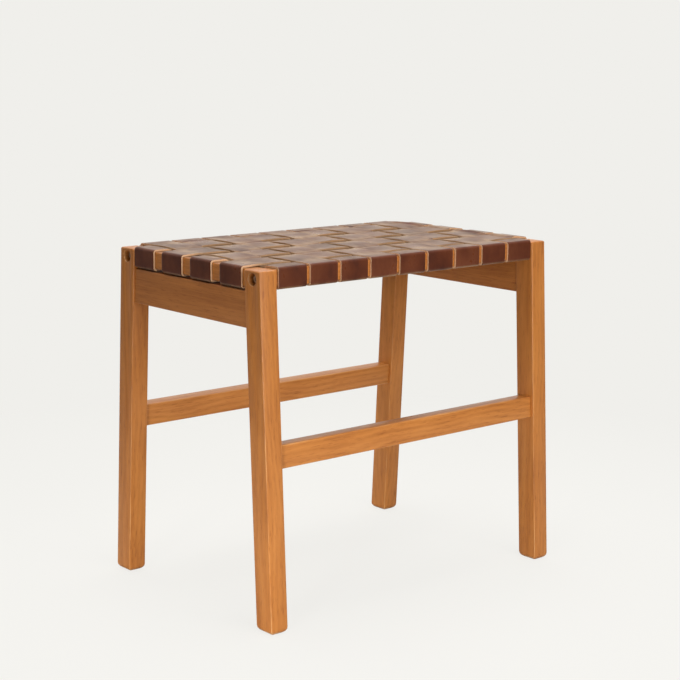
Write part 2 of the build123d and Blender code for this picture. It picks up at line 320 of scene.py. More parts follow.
def finish_piece(piece, slot, materials, *nodes):
    """Give a piece its materials, attach it to the root body, and hide the solids it stands in for."""
    piece.data.materials.clear()
    for material in materials:
        piece.data.materials.append(material)
    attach(piece, "root")
    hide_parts(*nodes)


def outer_y(sizes, height):
    """Outer face of a back leg at one height."""
    return sizes.depth / 2 - height * math.tan(sizes.lean)


def inner_y(sizes, height):
    """Inner face of a back leg at one height."""
    return outer_y(sizes, height) - sizes.leg_depth / math.cos(sizes.lean)


# Shader nodes

def add_node(tree, kind, inputs=None, **settings):
    """Add a shader node. Each input is a value or another node's output."""
    node = tree.nodes.new(kind)
    for name, value in settings.items():
        setattr(node, name, value)
    for name, value in (inputs or {}).items():
        if isinstance(value, bpy.types.NodeSocket):
            tree.links.new(value, node.inputs[name])
        else:
            node.inputs[name].default_value = value
    return node


def stretch(tree, vector, scale):
    """Scale a pattern's coordinates by a different amount along each axis."""
    node = add_node(tree, "ShaderNodeVectorMath", {0: vector, 1: scale}, operation="MULTIPLY")
    return node.outputs["Vector"]


def noise(tree, vector, scale, detail=2.0, roughness=0.5, output="Fac"):
    """A noise pattern of so many features per metre along each axis."""
    inputs = {"Vector": stretch(tree, vector, scale), "Scale": 1.0, "Detail": detail, "Roughness": roughness}
    return add_node(tree, "ShaderNodeTexNoise", inputs).outputs[output]


def remap(tree, value, low, high, to_low=0.0, to_high=1.0):
    """Spread a range of values over another range, and clip it there."""
    inputs = {"Value": value, "From Min": low, "From Max": high, "To Min": to_low, "To Max": to_high}
    return add_node(tree, "ShaderNodeMapRange", inputs).outputs["Result"]


def blend_values(tree, *weighted):
    """Add values, each multiplied by its weight."""
    total = 0.0
    for value, weight in weighted:
        inputs = {0: value, 1: weight, 2: total}
        total = add_node(tree, "ShaderNodeMath", inputs, operation="MULTIPLY_ADD").outputs[0]
    return total


def ramp(tree, value, stops):
    """Turn a value into a colour, by colours at places from 0 to 1."""
    node = add_node(tree, "ShaderNodeValToRGB", {"Fac": value})
    steps = node.color_ramp.elements
    while len(steps) < len(stops):
        steps.new(0.5)
    for step, (place, shown) in zip(steps, stops):
        step.position = place
        step.color = shown
    return node.outputs["Color"]


def mix_colour(tree, factor, first, second):
    """Mix two colours by a mask."""
    node = add_node(tree, "ShaderNodeMix", {0: factor, 6: first, 7: second}, data_type="RGBA")
    return node.outputs[2]


def start_group(name, inputs, outputs):
    """Start a node group with named sockets, and give its tree and its two ends."""
    tree = bpy.data.node_groups.new(name, "ShaderNodeTree")
    for socket, kind, default in inputs:
        made = tree.interface.new_socket(socket, in_out="INPUT", socket_type=kind)
        if default is not None:
            made.default_value = default
    for socket in outputs:
        tree.interface.new_socket(socket, in_out="OUTPUT", socket_type="NodeSocketFloat")
    return tree, add_node(tree, "NodeGroupInput").outputs, add_node(tree, "NodeGroupOutput").inputs


def use_group(tree, name, inputs):
    """Place a node group in a material."""
    node = tree.nodes.new("ShaderNodeGroup")
    node.node_tree = bpy.data.node_groups[name]
    for socket, value in inputs.items():
        if isinstance(value, bpy.types.NodeSocket):
            tree.links.new(value, node.inputs[socket])
        else:
            node.inputs[socket].default_value = value
    return node.outputs


def make_grain_group():
    """Wood grain that runs along Z: broad bands, growth rings, fibres and pores."""
    tree, given, result = start_group(
        "Wood grain",
        [("Vector", "NodeSocketVector", None), ("Figure", "NodeSocketFloat", 0.5)],
        ["Tone", "Height", "Patches"],
    )
    vector = given["Vector"]
    broad = noise(tree, vector, (9, 9, 1.6), 3.0)
    drift = noise(tree, vector, (9, 9, 2.6), 2.0, output="Color")
    drift = add_node(tree, "ShaderNodeVectorMath", {0: drift, 1: (0.5, 0.5, 0.5)}, operation="SUBTRACT")
    drift = stretch(tree, drift.outputs["Vector"], (0.055, 0.055, 0.0))
    warped = add_node(tree, "ShaderNodeVectorMath", {0: vector, 1: drift}, operation="ADD")
    heart = add_node(
        tree, "ShaderNodeVectorMath", {0: warped.outputs["Vector"], 1: (0.031, 0.047, 0.0)}, operation="ADD"
    )
    rings = add_node(
        tree,
        "ShaderNodeTexWave",
        {"Vector": heart.outputs["Vector"], "Scale": 46.0, "Distortion": 1.6, "Detail": 2.0, "Detail Scale": 1.5},
        wave_type="RINGS",
        rings_direction="Z",
    ).outputs["Fac"]
    fibres = noise(tree, vector, (520, 520, 14), 3.0, 0.65)
    streaks = noise(tree, vector, (110, 110, 6), 3.0, 0.6)
    clouds = noise(tree, vector, (45, 45, 12), 2.0)
    pores = remap(tree, noise(tree, vector, (800, 800, 60), 1.0), 0.60, 0.70)
    tone = blend_values(
        tree, (rings, given["Figure"]), (broad, 0.48), (fibres, 0.42), (streaks, 0.34), (clouds, 0.52), (pores, -0.22)
    )
    tree.links.new(remap(tree, tone, 0.56, 1.27), result["Tone"])
    tree.links.new(blend_values(tree, (fibres, 0.6), (pores, -0.8), (rings, 0.2)), result["Height"])
    tree.links.new(broad, result["Patches"])


def make_wear_group():
    """Wear on eased edges, broken up into patches."""
    tree, given, result = start_group(
        "Edge wear",
        [("Vector", "NodeSocketVector", None), ("Edge", "NodeSocketFloat", 0.0), ("Amount", "NodeSocketFloat", 0.6)],
        ["Mask"],
    )
    patches = remap(tree, noise(tree, given["Vector"], (40, 40, 14), 3.0, 0.6), 0.38, 0.62)
    worn = add_node(tree, "ShaderNodeMath", {0: patches, 1: given["Edge"]}, operation="MULTIPLY")
    mask = add_node(tree, "ShaderNodeMath", {0: worn.outputs[0], 1: given["Amount"]}, operation="MULTIPLY")
    tree.links.new(mask.outputs[0], result["Mask"])


def make_hide_group():
    """Leather grain: soft mottling, fine pebbles and long creases along U."""
    tree, given, result = start_group(
        "Hide grain", [("Vector", "NodeSocketVector", None)], ["Tone", "Height", "Rubbed"]
    )
    vector = given["Vector"]
    mottle = noise(tree, vector, (22, 30, 30), 4.0, 0.6)
    cloud = noise(tree, vector, (7, 9, 9), 2.0)
    cells = add_node(
        tree,
        "ShaderNodeTexVoronoi",
        {"Vector": stretch(tree, vector, (800, 800, 800)), "Scale": 1.0},
        feature="SMOOTH_F1",
    ).outputs["Distance"]
    creases = noise(tree, vector, (60, 260, 260), 3.0, 0.6)
    tree.links.new(remap(tree, blend_values(tree, (mottle, 0.7), (cloud, 0.5)), 0.36, 0.82), result["Tone"])
    tree.links.new(blend_values(tree, (cells, 0.5), (creases, 0.5)), result["Height"])
    tree.links.new(remap(tree, mottle, 0.35, 0.70), result["Rubbed"])


def new_material(name):
    """Start a material, and give its tree and its main shader."""
    material = bpy.data.materials.new(name)
    material.use_nodes = True
    return material, material.node_tree, material.node_tree.nodes["Principled BSDF"]


def roughen(tree, shader, height, distance, strength):
    """Bump a shader's surface by a height pattern."""
    inputs = {"Height": height, "Distance": distance, "Strength": strength}
    bump = add_node(tree, "ShaderNodeBump", inputs)
    tree.links.new(bump.outputs["Normal"], shader.inputs["Normal"])


def make_wood(name, turn, colours, figure, stain=0.0):
    """Satin wood whose grain runs along one axis. More stain makes it darker; on the aprons the extra stain is painted
    shade under the seat.
    """
    material, tree, shader = new_material(name)
    place = add_node(tree, "ShaderNodeTexCoord").outputs["Object"]
    vector = add_node(tree, "ShaderNodeMapping", {"Vector": place, "Rotation": turn}).outputs["Vector"]
    grain = use_group(tree, "Wood grain", {"Vector": vector, "Figure": figure})
    stops = [(0.02, colours.wood_dark), (0.50, colours.wood_middle), (1.0, colours.wood_light)]
    stained = ramp(tree, remap(tree, grain["Tone"], 0.0, 1.0, -stain, 1.0 - stain), stops)
    edge = add_node(tree, "ShaderNodeAttribute", attribute_name="wear").outputs["Fac"]
    height = add_node(tree, "ShaderNodeSeparateXYZ", {0: place}).outputs["Z"]
    amount = remap(tree, height, 0.20, 0.32, 0.60, 0.10)
    worn = use_group(tree, "Edge wear", {"Vector": vector, "Edge": edge, "Amount": amount})["Mask"]
    tint = add_node(tree, "ShaderNodeAttribute", attribute_name="tint").outputs["Fac"]
    pale = add_node(tree, "ShaderNodeMath", {0: worn, 1: tint}, operation="MAXIMUM").outputs[0]
    shown = mix_colour(tree, pale, stained, colours.wood_worn)
    # Below 0 the tint mixes in painted shade, in the bolt holes and on the rail tops between the straps
    dark = remap(tree, tint, 0.0, -0.7)
    shown = mix_colour(tree, dark, shown, colours.shade_and_stain_wood)
    tree.links.new(shown, shader.inputs["Base Color"])
    tree.links.new(remap(tree, grain["Tone"], 0.0, 1.0, 0.40, 0.28), shader.inputs["Roughness"])
    shader.inputs["Specular IOR Level"].default_value = 0.40
    roughen(tree, shader, grain["Height"], 0.12 * MM, 0.5)
    return material


def make_leather_face(colours):
    """The dyed, waxed face of the straps."""
    material, tree, shader = new_material("Strap leather face")
    place = add_node(tree, "ShaderNodeTexCoord").outputs["UV"]
    hide = use_group(tree, "Hide grain", {"Vector": place})
    stops = [(0.10, colours.leather_dark), (0.50, colours.leather_middle), (0.92, colours.leather_light)]
    bend = add_node(tree, "ShaderNodeAttribute", attribute_name="bend").outputs["Fac"]
    paled = add_node(tree, "ShaderNodeMath", {0: bend, 1: hide["Rubbed"]}, operation="MULTIPLY").outputs[0]
    shown = mix_colour(tree, paled, ramp(tree, hide["Tone"], stops), colours.leather_bent)
    tree.links.new(shown, shader.inputs["Base Color"])
    tree.links.new(remap(tree, hide["Rubbed"], 0.0, 1.0, 0.42, 0.25), shader.inputs["Roughness"])
    shader.inputs["Specular IOR Level"].default_value = 0.20
    shader.inputs["Sheen Weight"].default_value = 0.50
    shader.inputs["Sheen Roughness"].default_value = 0.25
    shader.inputs["Sheen Tint"].default_value = (1.0, 0.82, 0.62, 1)
    roughen(tree, shader, hide["Height"], 0.10 * MM, 0.45)
    return material


def make_leather_back(name, outer, inner, rough):
    """Undyed leather, for the cut edges and the flesh side. Inside the weave it gets painted shade."""
    material, tree, shader = new_material(name)
    place = add_node(tree, "ShaderNodeTexCoord").outputs["UV"]
    fuzz = noise(tree, place, (300, 900, 900), 3.0, 0.7)
    patches = noise(tree, place, (35, 40, 40), 3.0)
    tone = blend_values(tree, (fuzz, 0.5), (patches, 0.6))
    # The woven mark masks the painted shade on the cut edges inside the weave
    woven = add_node(tree, "ShaderNodeAttribute", attribute_name="woven").outputs["Fac"]
    shown = mix_colour(tree, woven, outer, inner)
    shadow = add_node(tree, "ShaderNodeMix", {0: 1.0, 6: shown, 7: ramp(tree, tone, FUZZ)}, data_type="RGBA", blend_type="MULTIPLY")
    tree.links.new(shadow.outputs[2], shader.inputs["Base Color"])
    tree.links.new(remap(tree, fuzz, 0.0, 1.0, rough, rough + 0.15), shader.inputs["Roughness"])
    shader.inputs["Specular IOR Level"].default_value = 0.25
    roughen(tree, shader, fuzz, 0.15 * MM, 0.5)
    return material


def make_steel(colours):
    """Dull plated steel."""
    material, tree, shader = new_material("Plated steel")
    place = add_node(tree, "ShaderNodeTexCoord").outputs["Object"]
    marks = noise(tree, place, (900, 900, 900), 3.0, 0.6)
    dark = tuple(part * 0.6 for part in colours.steel[:3]) + (1,)
    tree.links.new(ramp(tree, marks, [(0.35, dark), (0.65, colours.steel)]), shader.inputs["Base Color"])
    tree.links.new(remap(tree, marks, 0.3, 0.7, 0.38, 0.54), shader.inputs["Roughness"])
    shader.inputs["Metallic"].default_value = 0.35
    roughen(tree, shader, marks, 0.03 * MM, 0.3)
    return material


def make_dowel_wood(colours):
    """Plain, unstained wood with a fine grain along each dowel."""
    material, tree, shader = new_material("Dowel wood")
    place = add_node(tree, "ShaderNodeTexCoord").outputs["Object"]
    grain = use_group(tree, "Wood grain", {"Vector": place, "Figure": 0.2})
    dark = tuple(part * 0.7 for part in colours.dowel_wood[:3]) + (1,)
    tree.links.new(ramp(tree, grain["Tone"], [(0.2, dark), (0.8, colours.dowel_wood)]), shader.inputs["Base Color"])
    tree.links.new(remap(tree, grain["Tone"], 0.0, 1.0, 0.70, 0.60), shader.inputs["Roughness"])
    return material


def make_finishes():
    """Make every material of the stool, and give them by name."""
    colours = bpy.context.scene.stool_colours
    make_grain_group()
    make_wear_group()
    make_hide_group()
    return {
        "upright wood": make_wood("Upright wood", (0, 0, 0), colours, 0.12),
        "long wood": make_wood("Long wood", (0, math.pi / 2, 0), colours, 0.18),
        "cross wood": make_wood("Cross wood", (math.pi / 2, 0, 0), colours, 0.08),
        # The aprons' extra stain paints the shade under the seat
        "shaded apron wood": make_wood("Apron wood with painted shade", (math.pi / 2, 0, 0), colours, 0.06, 0.17),
        "face": make_leather_face(colours),
        # Inside the weave the cut edges get painted shade
        "cut": make_leather_back("Strap cut edge", colours.cut_leather, colours.shaded_inner_cut, 0.62),
        "flesh": make_leather_back("Strap flesh side", colours.flesh_leather, colours.flesh_leather, 0.78),
        "steel": make_steel(colours),
        "dowel": make_dowel_wood(colours),
    }


finishes = {}


# Wooden pieces

def model_leg(sizes, bolts):
    """The back right leg: a leaning post with eased edges and a bolt hole near its top."""
    top_y = outer_y(sizes, sizes.leg_height)
    low = (solid_high.x - sizes.leg_width, inner_y(sizes, sizes.leg_height), 0)
    leg = add_block("back_right_leg", low, (solid_high.x, top_y, sizes.leg_height))
    with editing(leg):
        pick_faces(leg, lambda middle, normal: normal.z < -0.9)
        bpy.ops.transform.translate(value=(0, outer_y(sizes, 0) - top_y, 0))
        round_edges(leg, sizes.foot_edge, 4, lambda a, b: max(a.z, b.z) < MM)
        round_edges(leg, sizes.leg_top_edge, 4, lambda a, b: min(a.z, b.z) > sizes.leg_height - 0.1 * MM)
        round_edges(leg, sizes.leg_edge, 4, lambda a, b: abs(a.z - b.z) > 0.1 * MM)
    mark_wear(leg)
    drill_bolt_hole(leg, bolts)
    shade(leg)
    return leg


def bolt_place():
    """Where the back right bolt's middle line meets the leg's end face."""
    low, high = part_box("side_rail_back")
    return Vector((solid_high.x, (low.y + high.y) / 2, (low.z + high.z) / 2))


def drill_bolt_hole(leg, bolts):
    """Cut the round hole for the bolt's head and ease its rim."""
    place = bolt_place()
    depth = bolts.bore_depth
    cut_away(leg, add_rod("drill", place, bolts.bore_radius, 2 * depth, 64))
    reach = bolts.bore_radius + 0.1 * MM
    outside = place.x - 0.05 * MM

    def on_rim(a, b):
        return all(end.x > outside and (end - place).length < reach for end in (a, b))

    with editing(leg):
        round_edges(leg, 0.7 * MM, 3, on_rim)

    # Paler bare wood at the rim; deeper in the hole the tint turns negative and paints shade
    def bore_bare_and_shade(at):
        across = math.hypot(at.y - place.y, at.z - place.z)
        return 0.35 - 1.1 * (place.x - at.x) / depth if across < reach else 0.0

    tint_wood(leg, bore_bare_and_shade)


def model_stretcher(sizes):
    """The back stretcher: a bar with tenons, turned to the legs' lean."""
    reach = solid_high.x - sizes.leg_width - sizes.shoulder_gap
    half_thick = sizes.stretcher_thickness / 2
    half_high = sizes.stretcher_height / 2
    bar = add_block("back_stretcher", (-reach, -half_thick, -half_high), (reach, half_thick, half_high))
    with editing(bar):
        round_edges(bar, sizes.stretcher_edge, 3, lambda a, b: abs(a.x - b.x) > MM)
        round_edges(bar, sizes.shoulder_relief, 1, lambda a, b: abs(a.x - b.x) < 0.1 * MM)
        pick_faces(bar, lambda middle, normal: abs(normal.x) > 0.99)
        bpy.ops.mesh.inset(thickness=half_thick / 2, use_individual=True)
        push_out(sizes.shoulder_gap + sizes.tenon_length)
    middle = (outer_y(sizes, sizes.stretcher_level) + inner_y(sizes, sizes.stretcher_level)) / 2
    bar.location = (0, middle, sizes.stretcher_level)
    bar.rotation_euler.x = sizes.lean
    settle(bar, "back_stretcher")
    mark_wear(bar)
    shade(bar)
    return bar


def model_end_board(node, name, sizes):
    """A board between the two legs of the right end, its ends cut to the lean."""
    low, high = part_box(node)
    wide = inner_y(sizes, low.z)
    board = add_block(name, (low.x, -wide, low.z), (high.x, wide, high.z))
    with editing(board):
        pick_faces(board, lambda middle, normal: normal.z > 0.9)
        bpy.ops.transform.resize(value=(1, inner_y(sizes, high.z) / wide, 1), center_override=(0, 0, high.z))
        round_edges(board, sizes.board_edge, 3, lambda a, b: abs(a.y - b.y) > 100 * MM)
        round_edges(board, sizes.shoulder_relief, 1, lambda a, b: abs(a.y - b.y) < 2 * MM)
    shade(board)
    return board


def model_side_rail(sizes):
    """The back rail, between the inner faces of the back legs."""
    low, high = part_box("side_rail_back")
    rail = add_block("back_rail", low, high)
    with editing(rail):
        round_edges(rail, sizes.board_edge, 3, lambda a, b: abs(a.x - b.x) > MM)
        round_edges(rail, sizes.shoulder_relief, 1, lambda a, b: abs(a.x - b.x) < 0.1 * MM)
    shade(rail)
    return rail


# Straps

def ease(value):
    """A smooth step from 0 to 1."""
    value = min(max(value, 0.0), 1.0)
    return value * value * (3 - 2 * value)


def spread(start, end, count):
    """Places from a start up to, but without, an end."""
    return [start + (end - start) * step / count for step in range(count)]


@dataclass
class Row:
    """One row of points across a strap.

    The run and height give its place on the strap's route. The dip is its share
    of the seat's sag. The sign is 1 where the strap arches over another, -1
    where it arches under, and the reach runs from 0 at the middle of a crossing
    to 1 at its ends. The bend is how much the leather has paled by bending.
    """

    run: float
    height: float
    dip: float = 0.0
    sign: float = 0.0
    reach: float = 1.0
    bend: float = 0.0


def dip_at(place, rail_inner, straps):
    """Share of the seat's sag at a distance from the middle, between two rails."""
    return ease((rail_inner + straps.sag_start - abs(place)) / straps.sag_run)


def end_stretch(outer_edge, entry, over, rail_inner, level, straps):
    """Rows from a rail's outer edge to the first crossing beyond it.

    A strap that passes over eases up to it, and one that passes under lies on
    the rail until the sag sets in.
    """
    rows = []
    for run in spread(outer_edge, entry, 20):
        part = ease((run - outer_edge) / (entry - outer_edge))
        if over:
            rows.append(Row(run, level * part, part * dip_at(entry, rail_inner, straps), part, bend=part))
        else:
            rows.append(Row(run, 0.0, dip_at(run, rail_inner, straps), -part, bend=part))
    return rows


def woven_rows(crossings, rail_inner, half, level, straps):
    """Rows from the start of the first crossing to the end of the last one.

    Where the strap crosses over another it lies one strap higher than where it
    passes under, and between the two it eases from one level to the other.
    """
    rows = []
    for (centre, over), following in zip(crossings, crossings[1:] + [None]):
        sign = 1 if over else -1
        for run in spread(centre - half, centre + half, 10):
            reach = abs(run - centre) / half
            rows.append(Row(run, over * level, dip_at(run, rail_inner, straps), sign, reach, reach**2))
        if following:
            start, end = centre + half, following[0] - half
            for run in spread(start, end, max(6, int((end - start) / (1.2 * MM)))):
                part = ease((run - start) / (end - start))
                height = level * (over + (following[1] - over) * part)
                turned = sign + (1 if following[1] else -1) * part - sign * part
                rows.append(Row(run, height, dip_at(run, rail_inner, straps), turned, bend=1.0))
        else:
            end = centre + half
            rows.append(Row(end, over * level, dip_at(end, rail_inner, straps), sign, bend=1.0))
    return rows


def quarter_bend(middle, radius, start_angle, steps):
    """Points of a quarter turn clockwise, in the plane of the strap's route."""
    points = []
    for step in range(1, steps + 1):
        angle = start_angle - math.pi / 2 * step / steps
        points.append((middle[0] + radius * math.cos(angle), middle[1] + radius * math.sin(angle)))
    return points


def wrap_points(outer, inner, bottom, top, straps):
    """The route round the right rail, from its top outer edge down to the strap's tail."""
    edge = straps.rail_edge
    stand = straps.clearance + straps.thickness / 2
    radius = edge + stand
    points = quarter_bend((outer - edge, top - edge), radius, math.pi / 2, 8)
    points += [(outer + stand, z) for z in spread(top - edge, bottom + edge, 6)[1:]]
    points += [(outer + stand, bottom + edge)]
    points += quarter_bend((outer - edge, bottom + edge), radius, 0, 6)
    points += [(x, bottom - stand) for x in spread(outer - edge, inner + edge, 5)[1:]]
    points += [(inner + edge, bottom - stand)]
    points += quarter_bend((inner + edge, bottom + edge), radius, -math.pi / 2, 6)
    points += [(inner - stand, z) for z in spread(bottom + edge, bottom + straps.tail, 4)[1:]]
    return points + [(inner - stand, bottom + straps.tail)]


def strap_rows(outer, inner, bottom, top, crossings, straps):
    """Every row of a strap from its left tail to its right tail."""
    half = straps.width / 2 + straps.clearance
    level = straps.thickness + straps.clearance
    edge = outer - straps.rail_edge
    wrap = wrap_points(outer, inner, bottom, top, straps)
    first, last = crossings[0], crossings[-1]
    rising = end_stretch(-edge, first[0] - half, first[1], inner, level, straps)
    falling = end_stretch(-edge, -last[0] - half, last[1], inner, level, straps)
    seat = rising + woven_rows(crossings, inner, half, level, straps)
    seat += [replace(row, run=-row.run) for row in reversed(falling)]
    for row in seat:
        row.height += top + straps.clearance + straps.thickness / 2
    right = [Row(run, height, bend=0.6 * (height < bottom)) for run, height in wrap]
    left = [replace(row, run=-row.run) for row in reversed(right)]
    return left + seat + right


def model_strap(name, rows, straps, side_dip, place, number):
    """One strap: a grid laid along its rows, arched at its crossings, then given its thickness.

    The side_dip function gives the share of the seat's sag at a point's side of
    the strap. The place function turns a point's run, side and height into its
    place on the stool.
    """
    count, columns = len(rows) - 1, straps.columns
    bpy.ops.object.select_all(action="DESELECT")
    bpy.ops.mesh.primitive_grid_add(x_subdivisions=count, y_subdivisions=columns, size=1, calc_uvs=True)
    strap = settle(bpy.context.object, name)
    along = [0.0]
    for before, after in zip(rows, rows[1:]):
        along.append(along[-1] + math.hypot(after.run - before.run, after.height - before.height))
    texture = {}
    for mark in ("bend", "woven"):
        strap.data.attributes.new(mark, "FLOAT", "POINT")
    bend, woven = (strap.data.attributes[mark].data for mark in ("bend", "woven"))
    for point in strap.data.vertices:
        number_along = round((point.co.x + 0.5) * count)
        row, share_across = rows[number_along], 2 * point.co.y
        # The woven mark is the mask for painted shade on the cut edges inside the weave
        bend[point.index].value, woven[point.index].value = row.bend, row.dip
        side = share_across * straps.width / 2
        arch = row.sign * straps.saddle * (share_across**2 - row.reach**2)
        dip = straps.sag * row.dip * side_dip(side)
        texture[point.index] = (along[number_along] + number * 0.83, side + number * 0.31)
        point.co = place(row.run, side, row.height + arch - dip)
    layer = strap.data.uv_layers[0]
    for corner in strap.data.loops:
        layer.data[corner.index].uv = texture[corner.vertex_index]
    for finish in ("face", "cut", "flesh"):
        strap.data.materials.append(finishes[finish])
    apply_modifier(
        strap, "SOLIDIFY", thickness=straps.thickness, offset=0, use_even_offset=True,
        material_offset=2, material_offset_rim=1,
    )
    apply_modifier(
        strap, "BEVEL", width=straps.cut_edge, segments=2, limit_method="ANGLE", angle_limit=math.radians(60)
    )
    shade(strap, 50)
    return strap


def middle_of(node, axis):
    """Middle of a solid along one axis."""
    low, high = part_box(node)
    return (low[axis] + high[axis]) / 2


def drift_at(x, straps):
    """How far a long strap has run to the front at a place along the seat."""
    return straps.drift * (x - solid_low.x) / (solid_high.x - solid_low.x)


# Bolts, washers and staples

def model_bolt(bolts):
    """The back right bolt: a socket head with a ribbed side and eased rim, on its shank."""
    rim = 0.5 * MM
    centre = bolt_place()
    centre.x += bolts.washer_thickness - bolts.bore_depth + bolts.head_height / 2
    face_x = centre.x + bolts.head_height / 2
    bolt = add_rod("bolt_back_right", centre, bolts.head_radius, bolts.head_height - 2 * rim)
    with editing(bolt):
        pick_faces(bolt, lambda middle, normal: normal.x > 0.99)
        push_out(rim)
        bpy.ops.transform.resize(value=(1, 0.92, 0.92), center_override=(face_x, centre.y, centre.z))
        pick_faces(bolt, lambda middle, normal: normal.x < -0.99)
        push_out(rim)
        bpy.ops.mesh.inset(thickness=bolts.head_radius - bolts.shank_radius)
        push_out(bolts.shank_length)
        pick_faces(bolt, lambda middle, normal: abs(middle.x - centre.x) < MM and is_rib(middle - centre))
        push_out(-0.18 * MM)
    socket = add_rod(
        "socket", (face_x, centre.y, centre.z), bolts.socket_width / math.sqrt(3), 2 * bolts.socket_depth, 6
    )
    cut_away(bolt, socket)
    shade(bolt, 30)
    return bolt


def is_rib(offset):
    """Every other one of the 48 faces round a bolt's head."""
    return round(math.atan2(offset.z, offset.y) / (math.pi / 24) - 0.5) % 2 == 0


def model_washer(bolts):
    """The back right washer: a ring with eased edges."""
    centre = bolt_place()
    centre.x += bolts.washer_thickness / 2 - bolts.bore_depth
    washer = add_rod("washer_back_right", centre, bolts.washer_radius, bolts.washer_thickness)
    cut_away(washer, add_rod("hole", centre, bolts.shank_radius * 1.1, 3 * bolts.washer_thickness, 32))
    apply_modifier(washer, "BEVEL", width=0.15 * MM, segments=2, limit_method="ANGLE", angle_limit=math.radians(60))
    shade(washer)
    return washer


def model_staple(bolts):
    """One wire staple, its crown along X on the plane Z = 0 and its legs below it."""
    wire, wide, deep = bolts.staple_wire, bolts.staple_width, 6 * MM
    staple = add_block("staple", (-wide / 2, -wire / 2, -deep), (-wide / 2 + wire, wire / 2, 0))
    with editing(staple):
        pick_faces(staple, lambda middle, normal: normal.z > 0.9)
        push_out(wire)
        pick_faces(staple, lambda middle, normal: normal.x > 0.9 and middle.z > 0)
        push_out(wide - 2 * wire)
        push_out(wire)
        pick_faces(staple, lambda middle, normal: normal.z < -0.9 and middle.x > wide / 2 - wire)
        push_out(deep)
        round_edges(staple, 0.2 * MM, 2, lambda a, b: (a - b).length > 0.1 * MM)
    shade(staple)
    return staple


def tail_places(straps):
    """Where each staple sits: its place on a strap's tail, and the way that the tail faces."""
    places = []
    for node in LONG_STRAPS:
        for side in (-1, 1):
            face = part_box("end_rail_right")[0].x - straps.clearance - straps.thickness
            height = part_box("end_rail_right")[0].z + straps.tail * 0.55
            for shift in (-0.25, 0.25):
                y = middle_of(node, 1) + shift * straps.width - drift_at(side * face, straps)
                places.append((Vector((side * face, y, height)), Vector((-side, 0, 0))))
    for node in CROSS_STRAPS:
        for side in (-1, 1):
            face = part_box("side_rail_back")[0].y - straps.clearance - straps.thickness
            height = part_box("side_rail_back")[0].z + straps.tail * 0.55
            for shift in (-0.25, 0.25):
                x = middle_of(node, 0) + shift * straps.width
                places.append((Vector((x, side * face, height)), Vector((0, -side, 0))))
    return places


# Stage

def make_floor(colours):
    """A pale floor that keeps the stool's soft shadow and fades into the backdrop."""
    bpy.ops.object.select_all(action="DESELECT")
    bpy.ops.mesh.primitive_circle_add(vertices=96, radius=3.0, fill_type="NGON", location=(0, 0, -0.1 * MM))
    floor = settle(bpy.context.object, "studio_floor")
    material = bpy.data.materials.new("Studio floor")
    material.use_nodes = True
    tree = material.node_tree
    tree.nodes.clear()
    place = add_node(tree, "ShaderNodeTexCoord").outputs["Object"]
    far = add_node(tree, "ShaderNodeVectorMath", {0: place}, operation="LENGTH").outputs["Value"]
    near = remap(tree, far, 0.25, 1.1, 0.20, 0.0)
    lift = remap(tree, far, 0.25, 1.1, 1.155, 1.0)
    rays = add_node(tree, "ShaderNodeLightPath").outputs
    seen = add_node(tree, "ShaderNodeMath", {0: rays["Is Camera Ray"], 1: rays["Is Transmission Ray"]}, operation="MAXIMUM")
    matt = add_node(tree, "ShaderNodeBsdfDiffuse", {"Color": colours.floor})
    plain = add_node(tree, "ShaderNodeEmission", {"Color": colours.background, "Strength": lift})
    shown = add_node(tree, "ShaderNodeMixShader", {0: near, 1: plain.outputs[0], 2: matt.outputs[0]})
    both = add_node(tree, "ShaderNodeMixShader", {0: seen.outputs[0], 1: matt.outputs[0], 2: shown.outputs[0]})
    add_node(tree, "ShaderNodeOutputMaterial", {"Surface": both.outputs[0]})
    floor.data.materials.append(material)


def make_room(colours, studio):
    """A dim even light from all round, and the pale backdrop where it is seen.

    Glossy surfaces see the backdrop as bright behind and above the stool and dim in front.
    """
    world = bpy.data.worlds.new("Studio room")
    world.use_nodes = True
    tree = world.node_tree
    tree.nodes.clear()
    rays = add_node(tree, "ShaderNodeLightPath").outputs
    way = add_node(tree, "ShaderNodeTexCoord").outputs["Generated"]
    behind = add_node(tree, "ShaderNodeVectorMath", {0: way, 1: (0.45, 0.54, 0.71)}, operation="DOT_PRODUCT")
    behind = remap(tree, behind.outputs["Value"], 0.0, 0.7)
    gloss = add_node(tree, "ShaderNodeMath", {0: rays["Is Glossy Ray"], 1: behind}, operation="MULTIPLY")
    seen = add_node(tree, "ShaderNodeMath", {0: rays["Is Camera Ray"], 1: gloss.outputs[0]}, operation="MAXIMUM")
    seen = add_node(tree, "ShaderNodeMath", {0: seen.outputs[0], 1: rays["Is Transmission Ray"]}, operation="MAXIMUM")
    light = add_node(tree, "ShaderNodeBackground", {"Color": (1, 1, 1, 1), "Strength": studio.room_light})
    backdrop = add_node(tree, "ShaderNodeBackground", {"Color": colours.background, "Strength": 1.0})
    shown = add_node(tree, "ShaderNodeMixShader", {0: seen.outputs[0], 1: light.outputs[0], 2: backdrop.outputs[0]})
    add_node(tree, "ShaderNodeOutputWorld", {"Surface": shown.outputs[0]})
    bpy.context.scene.world = world


def add_lamp(name, place, aim, size, power):
    """A square soft lamp that faces a point."""
    lamp = bpy.data.lights.new(name, "AREA")
    lamp.size = size
    lamp.energy = power
    hang_lamp(lamp, place, aim)


def hang_lamp(lamp, place, aim):
    """Put a lamp at its place and turn it to face a point."""
    holder = bpy.data.objects.new(lamp.name, lamp)
    holder.location = place
    holder.rotation_euler = (Vector(aim) - Vector(place)).to_track_quat("-Z", "Y").to_euler()
    bpy.context.scene.collection.objects.link(holder)


